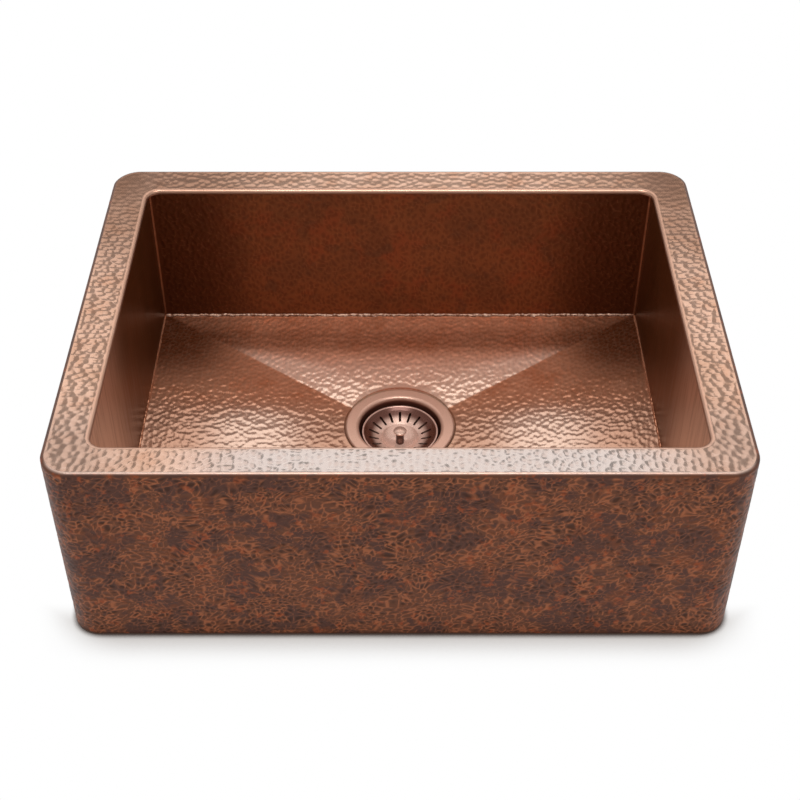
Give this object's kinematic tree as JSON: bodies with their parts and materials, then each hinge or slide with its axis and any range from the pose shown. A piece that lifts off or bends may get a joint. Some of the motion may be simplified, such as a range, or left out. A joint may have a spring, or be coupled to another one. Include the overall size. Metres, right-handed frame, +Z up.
{
  "type": "farmhouse apron front sink",
  "caption": "Single-basin farmhouse apron front sink in hammered aged copper, with a falling creased floor and a lift-out basket strainer.",
  "frame": {"origin": "centre of the drain outlet's lower end face, on the drain's axis; the apron's lower edge is 32.5 mm above it", "axes": "+X along the sink's width, to the right of someone facing the apron; +Y from the apron to the back; +Z up"},
  "size_m": [0.61, 0.466, 0.241],
  "materials": {
    "aged_copper": "hammered copper with a dark mottled brown patina",
    "rim_copper": "hammered copper, polished lighter",
    "basin_copper": "hammered and brushed aged copper",
    "floor_copper": "hammered copper, satin",
    "plain_copper": "plain rolled copper sheet",
    "strainer_copper": "satin antique copper plating on brass",
    "plated_steel": "zinc plated",
    "black_rubber": "moulded",
    "putty": "set sealing putty"
  },
  "bodies": {
    "sink": {"apron_wrap": "aged_copper", "rear_wrap": "aged_copper", "seam_strap_left": "plain_copper", "seam_strap_right": "plain_copper", "rim_front": "rim_copper", "rim_back": "rim_copper", "rim_left": "rim_copper", "rim_right": "rim_copper", "basin_front_wall": "basin_copper", "basin_back_wall": "basin_copper", "basin_left_wall": "basin_copper", "basin_right_wall": "basin_copper", "basin_floor": "floor_copper", "front_webs": "plain_copper", "side_webs": "plain_copper", "rear_webs": "plain_copper", "strainer_body": "strainer_copper", "flange_putty": "putty", "rubber_gasket": "black_rubber", "friction_washer": "plated_steel", "lock_nut": "plated_steel"},
    "clip": {"spring_clip": "plated_steel"},
    "basket": {"basket_cup": "strainer_copper", "basket_post": "strainer_copper", "basket_knob": "strainer_copper", "stopper_washer": "plated_steel", "stopper_rubber": "black_rubber", "post_nut": "plated_steel"}
  },
  "joints": [
    {"name": "basket_lift", "type": "slide", "parent": "sink", "child": "clip", "axis": [0, 0, 1], "range_m": [0, 0.245]},
    {"name": "basket_turn", "type": "hinge", "parent": "clip", "child": "basket", "pos_m": [0, 0, 0.05], "axis": [0, 0, 1], "continuous": true}
  ]
}
